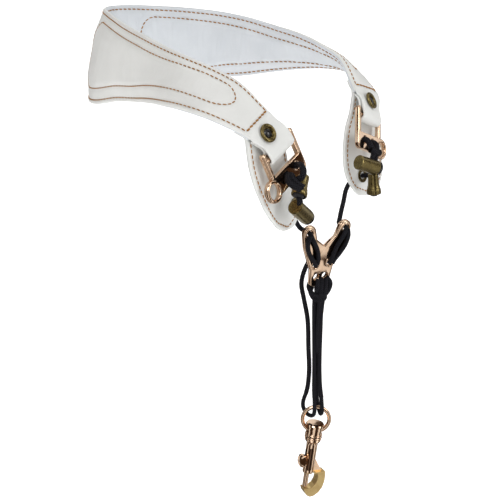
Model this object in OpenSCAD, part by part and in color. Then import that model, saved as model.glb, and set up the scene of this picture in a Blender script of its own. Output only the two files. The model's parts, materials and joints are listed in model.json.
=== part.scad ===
// Neck strap for a saxophone: padded leather collar, two buckle plates,
// braided cord with toggles, an adjusting plate and a spring snap hook.
// +X runs forward to the chest, +Y to the wearer's left, +Z up.
// The origin is the inner face of the collar at the nape.

/* [Collar] */
// Thickness of the outer leather
skin_t = 1.4; // [1:0.1:1.8]
// Thickness of the lining leather
lining_t = 1.2; // [0.9:0.1:1.6]
// Half thickness of the foam at the nape
foam_h = 2.4; // [1.2:0.1:3]
// Thickness of the tongue leather
tongue_t = 2.0; // [1.6:0.1:2.4]

/* [Buckle plates] */
// Width of the plate window
win_w = 21.4; // [21.2:0.1:22]
// Height of the plate window below its bar
win_h = 7.7; // [7.2:0.1:8.2]
// Width of each side bar
side_bar = 3.0; // [2.6:0.1:3.4]
// Thickness of the cast plate
plate_t = 2.6; // [2.2:0.1:2.8]
// Radius of the bar that the tab goes round
bar_r = 1.5; // [1.3:0.1:1.5]
// Radius of the ear hole
ear_hole_r = 3.9; // [3.4:0.1:4.1]
// Radius of each cord hole in the buckle plates
cord_hole_r = 2.0; // [1.8:0.1:2.2]

/* [Cord] */
// Diameter of the braided cord
cord_d = 2.5; // [2.2:0.1:2.6]

/* [Toggles] */
// Radius of the toggle barrel
barrel_r = 3.9; // [3.5:0.1:4]
// Length of the toggle barrel
barrel_l = 16; // [14:0.5:17]

/* [Snap hook] */
// Outer diameter of the ring
ring_d = 17; // [16.6:0.1:17.2]
// Diameter of the ring wire
ring_wire = 2.2; // [2:0.1:2.4]

/* [Hidden] */
$fn = 48;
LEATHER = [0.87, 0.87, 0.85]; LINING = [0.84, 0.86, 0.88];
ROSE = [0.85, 0.62, 0.47]; BRASS = [0.42, 0.37, 0.2]; BLACK = [0.06, 0.06, 0.07];

// ---------- collar edges, from the nape to one end ----------
// upper (inner) edge and lower (outer) edge, y is the distance from the middle
TOP = [[0,0,26.5],[4,10,26.3],[14,19,25.7],[28,29.5,24.6],[44,39.5,22.7],[60,45.7,19.9],
       [76,49.2,16],[92,51,12],[107,49.5,7],[120,47.5,1],[131,42,-11.5],[135.2,39.4,-17]];
BOT = [[-8,0,-22],[0,20,-22],[12,34,-21.5],[25,42.5,-19.5],[40,45.5,-16],[56,49.5,-14],
       [72,59,-11.3],[88,68.5,-9.3],[104,73.5,-9],[119,72,-12],[133,65,-19],[136.6,61.6,-24.4]];
NS = len(TOP) - 1;
S_END = 10.35;           // where the padded collar ends, in edge stations
function flip(p, s) = [p[0], s * p[1], p[2]];
function cr(a, b, c, d, t) = 0.5 * (2*b + (c-a)*t + (2*a-5*b+4*c-d)*t*t + (3*b-a-3*c+d)*t*t*t);
// station s runs from -NS (right end) through 0 (nape) to NS (left end)
function edge(P, j) = j < 0 ? flip(P[min(-j, NS)], -1) : P[min(j, NS)];
function rail(P, s) = let(i = floor(s), t = s - i)
    cr(edge(P, i-1), edge(P, i), edge(P, i+1), edge(P, i+2), t);
function unit(v) = v / norm(v);
function smooth(a, b, x) = let(t = max(0, min(1, (x-a)/(b-a)))) t*t*(3-2*t);
function mid(s, v) = rail(TOP, s)*(1-v) + rail(BOT, s)*v;
function nrm(s, v) = unit(cross(mid(s+0.05, v)-mid(s-0.05, v), mid(s, v+0.02)-mid(s, v-0.02)));
// foam half thickness over the collar
function puff(s, v) = foam_h * smooth(0.02, 0.3, v) * smooth(0.02, 0.3, 1-v)
    * (0.3 + 0.7*smooth(0, 3.2, 9.6-abs(s)));
function lay(s, v, h) = mid(s, v) + nrm(s, v) * h;
// a closed sheet from grids of front and back points, ROWS[i][j]
module sheet(F, B) {
    n = len(F); m = len(F[0]);
    pts = concat([for (r = F) for (p = r) p], [for (r = B) for (p = r) p]);
    o = n*m;
    faces = concat(
        [for (i=[0:n-2]) for (j=[0:m-2]) for (q=[[i*m+j, i*m+j+1, (i+1)*m+j+1], [i*m+j, (i+1)*m+j+1, (i+1)*m+j]]) q],
        [for (i=[0:n-2]) for (j=[0:m-2]) for (q=[[o+i*m+j, o+(i+1)*m+j+1, o+i*m+j+1], [o+i*m+j, o+(i+1)*m+j, o+(i+1)*m+j+1]]) q],
        [for (i=[0:n-2]) for (q=[[i*m, (i+1)*m, o+(i+1)*m], [i*m, o+(i+1)*m, o+i*m]]) q],
        [for (i=[0:n-2]) for (q=[[i*m+m-1, o+(i+1)*m+m-1, (i+1)*m+m-1], [i*m+m-1, o+i*m+m-1, o+(i+1)*m+m-1]]) q],
        [for (j=[0:m-2]) for (q=[[j, o+j+1, j+1], [j, o+j, o+j+1]]) q],
        [for (j=[0:m-2]) let(a=(n-1)*m) for (q=[[a+j, a+j+1, o+a+j+1], [a+j, o+a+j+1, o+a+j]]) q]);
    polyhedron(pts, faces, convexity = 6);
}
SR = [for (k = [-24:24]) S_END * k/24];
VR = [0, 0.06, 0.16, 0.3, 0.5, 0.7, 0.84, 0.94, 1];
module outer_leather() { color(LEATHER)
    sheet([for (s=SR) [for (v=VR) lay(s, v, puff(s, v)+0.02+skin_t)]],
          [for (s=SR) [for (v=VR) lay(s, v, puff(s, v)+0.02)]]); }
module lining_leather() { color(LINING)
    sheet([for (s=SR) [for (v=VR) lay(s, v, -puff(s, v)-0.02)]],
          [for (s=SR) [for (v=VR) lay(s, v, -puff(s, v)-0.02-lining_t)]]); }
FR = [for (k = [-22:22]) S_END * k/24];
FV = [0.06, 0.16, 0.3, 0.5, 0.7, 0.84, 0.94];
module foam_core() { color([0.9,0.85,0.6])
    sheet([for (s=FR) [for (v=FV) lay(s, v, puff(s, v))]],
          [for (s=FR) [for (v=FV) lay(s, v, -puff(s, v))]]); }

// ---------- buckle frame: X' inward along the bar, Z' up, -Y' to the front ----------
BAR = [139, -46, -26];
BAR_ROT = [-12.5, -21, 90];
module right_buckle() { translate(BAR) rotate(BAR_ROT) children(); }
module left_buckle() { mirror([0,1,0]) translate(BAR) rotate(BAR_ROT) children(); }
function bx() = [0, cos(21), sin(21)];
function by() = [-cos(12.5), sin(21)*sin(12.5), -cos(21)*sin(12.5)];
function bz() = [-sin(12.5), -sin(21)*cos(12.5), cos(21)*cos(12.5)];
function buckle(p) = BAR + bx()*p[0] + by()*p[1] + bz()*p[2];

// ---------- leather tab that wraps the plate's top bar ----------
bar_z = -2.9;                                         // the bar's axis below the plate's top
LOOP_R = bar_r + 0.35 + skin_t/2;
// centre line of the loop in (y', z'), from the top of the front run round the bar
LOOP = concat([[1.1,10.85],[0.2,8.4],[-0.75,5.4],[-1.6,2.4],[-2.25,-0.6]],
    [for (a=[170:20:410]) [LOOP_R*cos(a), bar_z+LOOP_R*sin(a)]],
    [[0.5,0.3],[0.15,1.9],[0.45,3.6],[0.93,5.4],[1.47,7.2],[2.1,8.9]]);
function lw(z) = 10.2 + 1.6*smooth(3, 11.2, z);       // half width
function lc(z) = -2.6*smooth(1.5, 11.2, z);           // sideways drift
// the run turns a little to meet the collar's end; u is -1..1 across the tab
function lp(p, u) = let(k=smooth(4.5, 11.2, p[1])) [lc(p[1])+u*lw(p[1]), p[0]+k*(0.67*u*u+1.17*u), p[1]-k*0.47*u];
LU = [-1,-0.5,0,0.5,1];
function ln(i) = let(a = LOOP[max(i-1,0)], b = LOOP[min(i+1,len(LOOP)-1)], d = unit(b-a)) [-d[1], d[0]];
module tab_loop(P) { color(LEATHER) difference() {
    sheet([for (i=[0:len(LOOP)-1]) [for (u=LU) lp(LOOP[i]-ln(i)*skin_t/2, u)]],
          [for (i=[0:len(LOOP)-1]) [for (u=LU) lp(LOOP[i]+ln(i)*skin_t/2, u)]]);
    at_rivet(P) translate([0,0,-4]) cylinder(r=1.3, h=8); } }
module tab_loop_right() { right_buckle() tab_loop(RIV_R); }
module tab_loop_left() { left_buckle() tab_loop(RIV_L); }

// rivet through both runs of the tab, on its own axis
module at_rivet(P) { translate(P) rotate([-17.6,0,0]) rotate([90,0,0]) children(); }
RIV_R = [-4,0.7,7.6]; RIV_L = [0.9,0.25,5.5];
module rivet_rim(P) { color(BRASS) at_rivet(P) rotate_extrude()
    union() { translate([3.8,2.75]) circle(r=0.9, $fn=20); translate([2.5,2.05]) square([1.3,0.6]); } }
module rivet_cap(P) { color(BLACK) at_rivet(P) rotate_extrude()
    polygon([[0,-1.82],[1.2,-1.82],[1.2,2.05],[2.45,2.05],[2.45,2.5],[1.9,3],[1.1,3.3],[0,3.45]]); }
module rivet_washer(P) { color(BRASS) at_rivet(P) rotate_extrude()
    polygon([[0,-2.15],[2,-2.15],[2.2,-2.05],[2.2,-1.82],[0,-1.82]]); }

module rivet_rim_right() { right_buckle() rivet_rim(RIV_R); }
module rivet_rim_left() { left_buckle() rivet_rim(RIV_L); }
module rivet_cap_right() { right_buckle() rivet_cap(RIV_R); }
module rivet_cap_left() { left_buckle() rivet_cap(RIV_L); }
module rivet_washer_right() { right_buckle() rivet_washer(RIV_R); }
module rivet_washer_left() { left_buckle() rivet_washer(RIV_L); }

// ---------- tongue behind each buckle plate ----------
TT_R = [[131.9,-41,-16],[134,-35,-25],[134.4,-31,-32],[134.8,-28.5,-41],[135.6,-26,-50],[136.6,-23.5,-58],[137.6,-21.5,-66],[138,-20.5,-72.5]];
TB_R = [[133.4,-63.2,-23.2],[134.9,-63.7,-31.2],[135.9,-63.2,-37.2],[137.1,-61.4,-44.2],[138.3,-58.3,-51.6],[139,-54.5,-58.6],[139,-50,-65.5],[138.6,-47,-71.5]];
TT_L = [[131.9,41,-16],[133.7,35,-25],[133.6,31.5,-32],[133.8,29.3,-41],[134.2,28.8,-50.1],[135.4,29.2,-58],[137,30,-65],[138,30.5,-71.5]];
TB_L = [[133.4,63.2,-23.2],[134.8,64.1,-31.2],[135.8,64.4,-37.2],[137,64.1,-44.3],[138.3,63.8,-51.7],[139.6,63.4,-58.7],[140.8,63,-66.1],[141.5,62.5,-72]];
function lin(P, s) = let(n=len(P)-1, i=min(floor(s), n-1), t=s-i)
    cr(P[max(i-1,0)], P[i], P[min(i+1,n)], P[min(i+2,n)], t);
// the width shrinks round the end as a superellipse
function wid(t) = t < 0.62 ? 1 : pow(1 - pow((t-0.62)/0.38, 2.2), 1/2.2);
TROW = [0,0.08,0.17,0.26,0.35,0.44,0.53,0.62,0.7,0.78,0.85,0.9,0.94,0.97,0.99,0.998];
function tp(A, B, t, u) = let(a=lin(A, 7*t), b=lin(B, 7*t), c=(a+b)/2) c + (b-a)*(u-0.5)*wid(t);
function tnn(A, B, t, g) = unit(cross(lin(B,7*t)-lin(A,7*t), (lin(A,7*min(t+0.02,1))+lin(B,7*min(t+0.02,1)))-(lin(A,7*(t-0.02 < 0 ? 0 : t-0.02))+lin(B,7*(t-0.02 < 0 ? 0 : t-0.02)))))*g;
module tongue_shape(A, B, g) {
    sheet([for (t=TROW) [for (u=[0:0.25:1]) tp(A,B,t,u) + tnn(A,B,t,g)*tongue_t/2]],
          [for (t=TROW) [for (u=[0:0.25:1]) tp(A,B,t,u) - tnn(A,B,t,g)*tongue_t/2]]);
}
// grommet seats: centre, and the turns that point local +Z to the front
GR_R = [137.2,-28.0,-61.0]; GR_L = [137.4,42.2,-60.4];
module at_gr_right() { translate(GR_R) rotate([0,82.9,3.9]) children(); }
module at_gr_left() { translate(GR_L) rotate([0,78.9,-6.7]) children(); }
module tongue_right() { color(LEATHER) difference() { tongue_shape(TT_R, TB_R, -1);
    at_gr_right() translate([0,0,-5]) cylinder(r=2.9, h=10); } }
module tongue_left() { color(LEATHER) difference() { tongue_shape(TT_L, TB_L, -1);
    at_gr_left() translate([0,0,-5]) cylinder(r=2.9, h=10); } }
module grommet() { color(BRASS) rotate_extrude() union() {
    translate([2.2,-1.85]) square([0.6,3.7]);
    translate([2.2,1.4]) square([1.6,0.45]);
    translate([2.2,-1.85]) square([1.6,0.45]); } }
module tongue_grommet_right() { at_gr_right() grommet(); }
module tongue_grommet_left() { at_gr_left() grommet(); }

// ---------- buckle plate ----------
plate_w = win_w + 2*side_bar;
win_z = bar_z - bar_r - win_h;        // the window's lower edge
plate_bot = win_z - 9.4;
module slab(h) { translate([0, h/2, 0]) rotate([90,0,0]) linear_extrude(height=h) children(); }
module side_plate() { color(ROSE) union() {
    slab(plate_t) difference() {
        union() {
            translate([-plate_w/2, plate_bot+3]) square([plate_w, -plate_bot-3]);
            for (m=[-1,1]) translate([m*(plate_w/2-side_bar/2), 0]) circle(r=side_bar/2);
            translate([-plate_w/2+1, plate_bot]) square([plate_w-4, 3.01]);
            translate([plate_w/2-3, plate_bot+3]) circle(r=3);
            translate([-15, win_z-5.4]) circle(r=5.6);
        }
        translate([-win_w/2, win_z]) square([win_w, -win_z+3]);
        translate([-15, win_z-5.4]) circle(r=ear_hole_r);
        for (x=[-3, 6.3]) translate([x, win_z-3.9]) circle(r=cord_hole_r);
    }
    translate([-win_w/2-1,0,bar_z]) rotate([0,90,0]) cylinder(r=bar_r, h=win_w+2);
} }
module side_plate_right() { right_buckle() side_plate(); }
module side_plate_left() { left_buckle() side_plate(); }

// ---------- cords: a tube swept along a smooth route ----------
function route(P, k) = concat([for (i=[0:len(P)-2]) for (j=[0:k-1])
    cr(P[max(i-1,0)], P[i], P[i+1], P[min(i+2,len(P)-1)], j/k)], [P[len(P)-1]]);
function tang(P, i) = unit(P[min(i+1,len(P)-1)] - P[max(i-1,0)]);
// carry a side vector along the route without twist
function side0(t) = abs(t[2]) < 0.9 ? unit(cross(t, [0,0,1])) : unit(cross(t, [1,0,0]));
function sides(P, i, v) = i >= len(P) ? [] :
    let(t=tang(P,i), w=unit(v - t*(v*t))) concat([w], sides(P, i+1, w));
module tube(P, d, n=8) {
    V = sides(P, 0, side0(tang(P,0))); L = len(P);
    pts = [for (i=[0:L-1]) let(t=tang(P,i), a=V[i], b=cross(t,a)) for (k=[0:n-1])
        P[i] + (a*cos(360*k/n) + b*sin(360*k/n))*d/2];
    faces = concat([for (i=[0:L-2]) for (k=[0:n-1]) let(q=(k+1)%n)
            for (f=[[i*n+k, (i+1)*n+q, i*n+q], [i*n+k, (i+1)*n+k, (i+1)*n+q]]) f],
        [[for (k=[0:n-1]) k]], [[for (k=[n-1:-1:0]) (L-1)*n+k]]);
    polyhedron(pts, faces, convexity=8);
}
// toggles: barrel centre and turns that point local +Z to its plain face
BAR_R_C = [148.8,-37.4,-60.6]; BAR_R_ROT = [54,0,0];
BAR_L_C = [148.7,30.5,-50.8]; BAR_L_ROT = [69,0,-21];
module at_barrel_right() { translate(BAR_R_C) rotate(BAR_R_ROT) translate([0,0,-barrel_l/2]) children(); }
module at_barrel_left() { translate(BAR_L_C) rotate(BAR_L_ROT) translate([0,0,-barrel_l/2]) children(); }
module toggle_barrel() { color(BRASS) rotate_extrude() difference() {
    polygon([[0,2.2],[barrel_r-0.5,2.2],[barrel_r,2.7],[barrel_r,barrel_l-0.4],[barrel_r-0.4,barrel_l],[0,barrel_l]]);
    square([1.6, barrel_l-3]); } }
module toggle_cap() { color(BLACK) rotate_extrude()
    polygon([[0,0],[barrel_r-1.1,0],[barrel_r-0.3,0.8],[barrel_r-0.3,2.2],[1.5,2.2],[1.5,8],[0,8]]); }
module toggle_barrel_right() { at_barrel_right() toggle_barrel(); }
module toggle_barrel_left() { at_barrel_left() toggle_barrel(); }
module toggle_cap_right() { at_barrel_right() toggle_cap(); }
module toggle_cap_left() { at_barrel_left() toggle_cap(); }
// bells: local +Z runs to the narrow end, the wide mouth is at z = 0
BELL_R_C = [149.4,-41.5,-51.1]; BELL_R_ROT = [-42,-12,0];
BELL_L_C = [148.6,37.6,-68.0]; BELL_L_ROT = [2,-4,0];
module at_bell_right() { translate(BELL_R_C) rotate(BELL_R_ROT) children(); }
module at_bell_left() { translate(BELL_L_C) rotate(BELL_L_ROT) children(); }
module cord_bell() { color(BRASS) rotate_extrude() difference() {
    polygon([[0,0],[3.7,0],[4,0.4],[4,2.6],[3.5,3.4],[3.1,5.2],[2.75,10.9],[2.45,11.3],[0,11.3]]);
    polygon([[0,-1],[3.1,-1],[3.1,3],[1.3,4.4],[1.3,13],[0,13]]); } }
module cord_knot() { color(BLACK) rotate_extrude()
    polygon([[0,-1.3],[1.6,-1.1],[2.6,-0.3],[2.95,0.9],[2.8,2.3],[1.8,3.2],[0,3.3]]); }
module cord_bell_right() { at_bell_right() cord_bell(); }
module cord_bell_left() { at_bell_left() cord_bell(); }
module cord_knot_right() { at_bell_right() cord_knot(); }
module cord_knot_left() { at_bell_left() cord_knot(); }

// route points of the cord at each buckle plate, in the buckle frame for the right one
hz = win_z - 3.9;
module plate_cord_right() { color(BLACK) { right_buckle() union() {
    tube(route([[-3,2.4,hz],[-3,-1.6,hz],[-8.0,-5.2,-16.2],[-9.1,-8.0,-18.3],[-8.1,-10.4,-21.2]], 3), cord_d);
    tube(route([[6.3,2.4,hz],[6.3,-1.6,hz],[4.5,-5.2,-15.0],[1.5,-8.4,-16.1],[-1.8,-9.2,-17.5],[-2.9,-7.0,-18.5],[-2.8,-4.4,-19.1]], 2), cord_d); } } }
module plate_cord_left() { color(BLACK) { left_buckle() union() {
    tube(route([[-3,2.6,hz],[-3,-1.8,hz-0.2],[-2.6,-3.8,hz-2.2],[-1,-4.6,hz-4.6],[1.2,-5.4,hz-6.8]], 3), cord_d);
    tube(route([[6.3,2.6,hz],[6.3,-1.8,hz-0.2],[6.4,-3.8,hz-2.2],[5.6,-4.6,hz-4.6],[4.4,-5.4,hz-6.8]], 3), cord_d); } } }

// ---------- adjuster frame: X' to its right as worn facing it, -Y' to the front ----------
ADJ = [139.2, 0, -93.8]; ADJ_ROT = [9, 2, 70];
module adjuster_at() { translate(ADJ) rotate(ADJ_ROT) children(); }
adj_t = 2.6;
module half_wing() { // one side of the outline
    hull() { translate([11.8,14]) circle(r=4.1, $fn=32); translate([9.8,7]) circle(r=4.4, $fn=32); }
    hull() { translate([9.8,7]) circle(r=4.4, $fn=32); translate([4.6,-4.5]) circle(r=4.3, $fn=32); translate([0,-0.8]) circle(r=4.6, $fn=32); }
    hull() { translate([3.6,-5]) circle(r=4.4, $fn=32); translate([3.8,-15.6]) circle(r=2.7, $fn=32); translate([0,-14.6]) circle(r=2.6, $fn=32); }
}
module adjuster_plate() { color(ROSE) adjuster_at() difference() {
    slab(adj_t) difference() {
        union() { half_wing(); mirror([1,0]) half_wing(); }
        for (m=[-1,1]) { translate([m*12.2,14.1]) circle(r=1.9); translate([m*4.8,-5.1]) circle(r=1.9);
            translate([m*2.9,-12.5]) circle(r=1.75); }
    } } }

// ---------- lower cord ----------
module wing_cord(m) { color(BLACK) adjuster_at() union() {
    tube(route([[m*12.2,2.4,14.1],[m*12.1,-1.5,14],[m*10.2,-2.7,10.4],[m*6.6,-2.8,4.6],[m*4.8,-2.7,-1],[m*4.7,-1.5,-4.6],[m*4.8,2.4,-5]], 2), cord_d-0.3);
    tube(route([[m*12.8,-2.45,13.4],[m*13.6,-2.7,9.5],[m*12.4,-2.7,4.6],[m*9.4,-2.7,0.2],[m*6.9,-2.6,-2.8],[m*5.6,-2.45,-5.2]], 2), cord_d-0.3);
} }
module wing_cord_right() { wing_cord(-1); }
module wing_cord_left() { wing_cord(1); }

// hanging frame: X' across the ring, Y' away from the ring's face, Z up
HANG = [137, 0, 0]; HANG_ROT = [0, 0, 34];
module hang() { translate(HANG) rotate(HANG_ROT) children(); }
RZ = -190.4;                       // height of the ring's centre
ring_r = ring_d/2 - ring_wire/2;   // radius of the ring's centre line
// the four strands, from the adjuster down to the bights
S1 = [[-4.6,5.6,-99.5],[-6.6,6,-103.5],[-8.4,5.4,-109],[-8.8,4.4,-114],[-7.4,2.6,-121],[-5.4,0.6,-132],[-4.8,0,-147],[-4.2,0.4,-160],[-4.6,1.6,-170],[-5.6,2.8,-175.9]];
S2 = [[-0.5,-3.8,-106.7],[-0.5,-4.7,-109.5],[-0.8,-4,-113],[-2,-1.8,-119.5],[-1.9,-0.6,-132],[-1.6,-0.8,-147],[-1.4,-1.2,-160],[-1.4,-2,-170],[-1.2,-2.6,-175.9]];
S3 = [[4.2,-0.4,-106.9],[6.2,-0.6,-110],[5.2,-1.4,-114],[1,-1.8,-120.5],[0.9,-0.8,-132],[1.2,-1,-147],[1.3,-1.4,-160],[1.8,-2.2,-170],[2.6,-2.6,-175.9]];
S4 = [[1.4,4.2,-101.3],[1,5.2,-106.7],[-0.8,5,-113],[-0.4,2.6,-121],[-0.4,2,-132],[0,2,-147],[0,2,-160],[-0.1,2.4,-170],[0.2,2.8,-175.9]];
module hanging_cords() { color(BLACK) hang() union() {
    for (P=[S1,S2,S3,S4]) tube(P, cord_d); } }
module cord_bights() { color(BLACK) hang() union() {
    tube([[-5.6,2.8,-176.3],[-6.9,3.9,-181],[-6.9,4.1,-185],[-5.2,2.4,-187.8],[-3.2,0,-188.2],[-1.5,-2.4,-186.6],[-1,-3.1,-183],[-1.2,-2.6,-176.3]], cord_d);
    tube([[2.6,-2.6,-176.3],[3,-3.1,-182],[3,-2.6,-185],[2.4,-0.2,-187],[1.6,2.8,-185.4],[0.9,3.8,-181.6],[0.2,2.8,-176.3]], cord_d); } }
module hook_ring() { color(ROSE) hang() translate([0,0,RZ]) rotate([90,0,0]) rotate_extrude($fn=64) translate([ring_r,0]) circle(r=ring_wire/2, $fn=20); }

// snap hook frame: origin in the ring's lowest wire, Z' up its own axis
TILT = 7;
PIV = [-ring_r*sin(TILT), 0, RZ - ring_r*cos(TILT)];
module snap() { hang() translate(PIV) rotate([0,TILT,0]) children(); }
module snap_turn() { snap() rotate([0,0,25]) children(); }
module swivel_eye() { color(ROSE) snap() difference() {
    rotate_extrude() polygon([[0,-2.4],[4.3,-2.4],[4.6,-2.1],[4.6,-1.5],[4.35,-1.2],[4.5,-0.9],[4.6,0.2],[4.8,1.6],[4.85,2.8],[5,3.5],[5.05,4.4],[4.7,5],[3.4,5.35],[0,5.5]]);
    translate([-7,-2.6,-1.45]) cube([14,5.2,5.35]);
    translate([0,0,-3]) cylinder(r=1.35, h=2); } }
// stem riveted into the eye; its foot turns inside the hook's collar
module swivel_head() { color(ROSE) snap() union() {
    translate([0,0,-4.7]) cylinder(r=1.35, h=3.1);
    translate([0,0,-5.5]) cylinder(r=2.2, h=0.9); } }
WEB = [[2,-17],[3,-17],[5.6,-21.2],[8.2,-24.9],[8.6,-27],[4,-27],[2,-24.8]];
BOWL_OUT = [[3.6,-25.2],[9.9,-25.2],[10.4,-28.4],[10.4,-31.6],[9.6,-35.2],[7.5,-38.4],[4.8,-40.2],[2.5,-40.6],[0.5,-39.6],[-1.1,-37.6],[-2,-35.6],[-2.1,-34.8]];
BOWL_IN = [[1.1,-35.3],[2.6,-35],[4.5,-33.4],[5.6,-31],[6,-28.2],[5.6,-26.4]];
rod_x = -0.6;                      // the plunger sits off the barrel's axis
module hook_body() { color(ROSE) snap_turn() difference() {
    union() {
        // collar bands, neck and barrel
        rotate_extrude() polygon([[0,-2.7],[4.4,-2.7],[4.7,-3],[4.7,-3.5],[4.35,-3.75],[4.6,-4],[4.6,-4.4],[4.25,-4.6],[4.4,-4.85],[4.4,-5.4],[4.1,-5.8],[3.5,-6.4],[3.15,-7.4],[3.1,-24.9],[2.8,-25.6],[0,-25.6]]);
        // web and bowl
        rotate([90,0,0]) translate([0,0,-1.1]) linear_extrude(height=2.2) polygon(WEB);
        rotate([90,0,0]) translate([0,0,-2.4]) linear_extrude(height=4.8) polygon(concat(BOWL_OUT, BOWL_IN));
    }
    // room for the swivel stem and its foot
    translate([0,0,-5.7]) cylinder(r=2.3, h=1.2);
    translate([0,0,-5]) cylinder(r=1.41, h=4);
    // plunger bore, slot for the knob's shank
    translate([rod_x,0,-26]) cylinder(r=1.5, h=18);
    translate([-4,-1,-19.1]) cube([3.4,2,8.6]);
    // seat for the plunger's tip
    translate([rod_x,0,-35.4]) cylinder(r=0.9, h=2);
} }
module plunger_rod() { color(ROSE) snap_turn() translate([rod_x,0,0]) rotate_extrude()
    polygon([[0,-34.6],[1.4,-34.6],[1.4,-34],[1.45,-33.8],[1.45,-16.4],[0.8,-16.4],[0.8,-15],[0,-15]]); }
module thumb_knob() { color(ROSE) snap_turn() translate([rod_x,0,-17.9]) rotate([0,-90,0]) rotate_extrude()
    polygon([[0,1.5],[0.8,1.5],[0.8,2.85],[2.8,2.85],[3.7,3.2],[3.95,4],[3.7,4.9],[2.8,5.6],[0,5.9]]); }
module plunger_spring() { color([0.7,0.7,0.72]) snap_turn() translate([rod_x,0,0])
    tube([for (i=[0:40]) let(a=i*45, z=-16.15+7.9*i/40) [1.1*cos(a), 1.1*sin(a), z]], 0.4, 4); }

// ---------- cord from each tongue grommet to the adjuster ----------
SC_R = [[143.4,-27.7,-60.1],[140.6,-27.8,-60.6],[137.2,-28,-61],[134.4,-27.4,-61.6],[132.6,-24.8,-63.8],[132.2,-21.2,-67.2],[132,-17.4,-71.4],[132,-14,-75.2],[132.2,-11.8,-77.6],[133.3,-10.6,-78.8],[134.4,-10.7,-79]];
SC_L = [[144.2,40.8,-58.8],[141.6,41.8,-59.6],[138,42.2,-60.4],[134.8,41.6,-61.4],[133.6,37.6,-63.8],[134.8,31,-66.8],[137.6,24,-70.4],[139.8,17.6,-74.4],[141,14,-77.8],[141.4,12.5,-79.1],[142.5,12.2,-79.7]];
module side_cord_right() { color(BLACK) tube(SC_R, cord_d); }
module side_cord_left() { color(BLACK) tube(SC_L, cord_d); }

outer_leather();
foam_core();
lining_leather();
tab_loop_right();
tab_loop_left();
tongue_right();
tongue_left();
rivet_rim_right();
rivet_rim_left();
rivet_cap_right();
rivet_cap_left();
rivet_washer_right();
rivet_washer_left();
tongue_grommet_right();
tongue_grommet_left();
side_plate_right();
side_plate_left();
plate_cord_right();
plate_cord_left();
toggle_barrel_right();
toggle_barrel_left();
toggle_cap_right();
toggle_cap_left();
cord_bell_right();
cord_bell_left();
cord_knot_right();
cord_knot_left();
side_cord_right();
side_cord_left();
adjuster_plate();
wing_cord_right();
wing_cord_left();
hanging_cords();
cord_bights();
hook_ring();
swivel_eye();
swivel_head();
hook_body();
plunger_rod();
thumb_knob();
plunger_spring();
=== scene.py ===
import json
import math
import bpy
import bmesh
import numpy as np
from mathutils import Vector, Matrix


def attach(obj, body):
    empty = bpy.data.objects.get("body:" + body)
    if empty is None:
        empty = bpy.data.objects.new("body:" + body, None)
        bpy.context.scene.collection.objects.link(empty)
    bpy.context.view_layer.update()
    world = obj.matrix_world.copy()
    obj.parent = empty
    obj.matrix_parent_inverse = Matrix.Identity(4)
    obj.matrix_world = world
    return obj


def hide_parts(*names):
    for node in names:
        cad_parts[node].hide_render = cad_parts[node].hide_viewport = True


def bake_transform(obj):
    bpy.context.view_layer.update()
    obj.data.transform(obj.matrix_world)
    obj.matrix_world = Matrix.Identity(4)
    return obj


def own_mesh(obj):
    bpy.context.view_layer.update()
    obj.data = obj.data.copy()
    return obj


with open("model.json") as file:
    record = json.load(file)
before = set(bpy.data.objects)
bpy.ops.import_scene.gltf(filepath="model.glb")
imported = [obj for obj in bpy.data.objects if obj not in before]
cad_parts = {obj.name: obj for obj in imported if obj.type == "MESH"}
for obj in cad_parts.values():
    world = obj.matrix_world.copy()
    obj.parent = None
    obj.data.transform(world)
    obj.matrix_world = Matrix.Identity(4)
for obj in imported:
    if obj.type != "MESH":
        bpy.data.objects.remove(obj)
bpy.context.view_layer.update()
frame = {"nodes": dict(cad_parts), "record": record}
NODES = frame["nodes"]
scene = bpy.context.scene
MM = 0.001

# ------------------------------------------------------------------ camera
cam_data = bpy.data.cameras.new("camera")
cam_data.sensor_width = 36
cam_data.lens = 83.8
cam_data.clip_start, cam_data.clip_end = 0.01, 20
camera = bpy.data.objects.new("camera", cam_data)
scene.collection.objects.link(camera)
camera.location = (0.4334, -0.5046, 0.0978)
look = Vector((0.093, 0.0, -0.100)) - camera.location
camera.rotation_euler = look.to_track_quat("-Z", "Y").to_euler()
scene.camera = camera
scene.view_settings.view_transform = "Standard"


# ------------------------------------------------------------------ small maths
def vec(*a):
    return np.array(a, float)


def unit(v):
    return v / np.linalg.norm(v)


def smooth(a, b, x):
    t = np.clip((x - a) / (b - a), 0, 1)
    return t * t * (3 - 2 * t)


def cr(a, b, c, d, t):
    return 0.5 * (2 * b + (c - a) * t + (2 * a - 5 * b + 4 * c - d) * t * t + (3 * b - a - 3 * c + d) * t ** 3)


def through(points, k):
    """A smooth line through points, k steps between neighbours."""
    P = np.array(points, float)
    n = len(P)
    out = []
    for i in range(n - 1):
        a, b, c, d = P[max(i - 1, 0)], P[i], P[i + 1], P[min(i + 2, n - 1)]
        out += [cr(a, b, c, d, j / k) for j in range(k)]
    out.append(P[-1])
    return np.array(out)


def resample(P, step):
    P = np.array(P, float)
    seg = np.linalg.norm(np.diff(P, axis=0), axis=1)
    L = np.concatenate([[0], np.cumsum(seg)])
    n = max(2, int(round(L[-1] / step)) + 1)
    t = np.linspace(0, L[-1], n)
    return np.stack([np.interp(t, L, P[:, k]) for k in range(P.shape[1])], 1), L[-1]


# ------------------------------------------------------------------ materials
def tree(name):
    m = bpy.data.materials.new(name)
    m.use_nodes = True
    nt = m.node_tree
    for n in list(nt.nodes):
        if n.type not in ("BSDF_PRINCIPLED", "OUTPUT_MATERIAL"):
            nt.nodes.remove(n)
    return m, nt, nt.nodes["Principled BSDF"]


def node(nt, kind, **props):
    n = nt.nodes.new(kind)
    for k, v in props.items():
        if k.startswith("in_"):
            n.inputs[k[3:].replace("_", " ")].default_value = v
        else:
            setattr(n, k, v)
    return n


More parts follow.
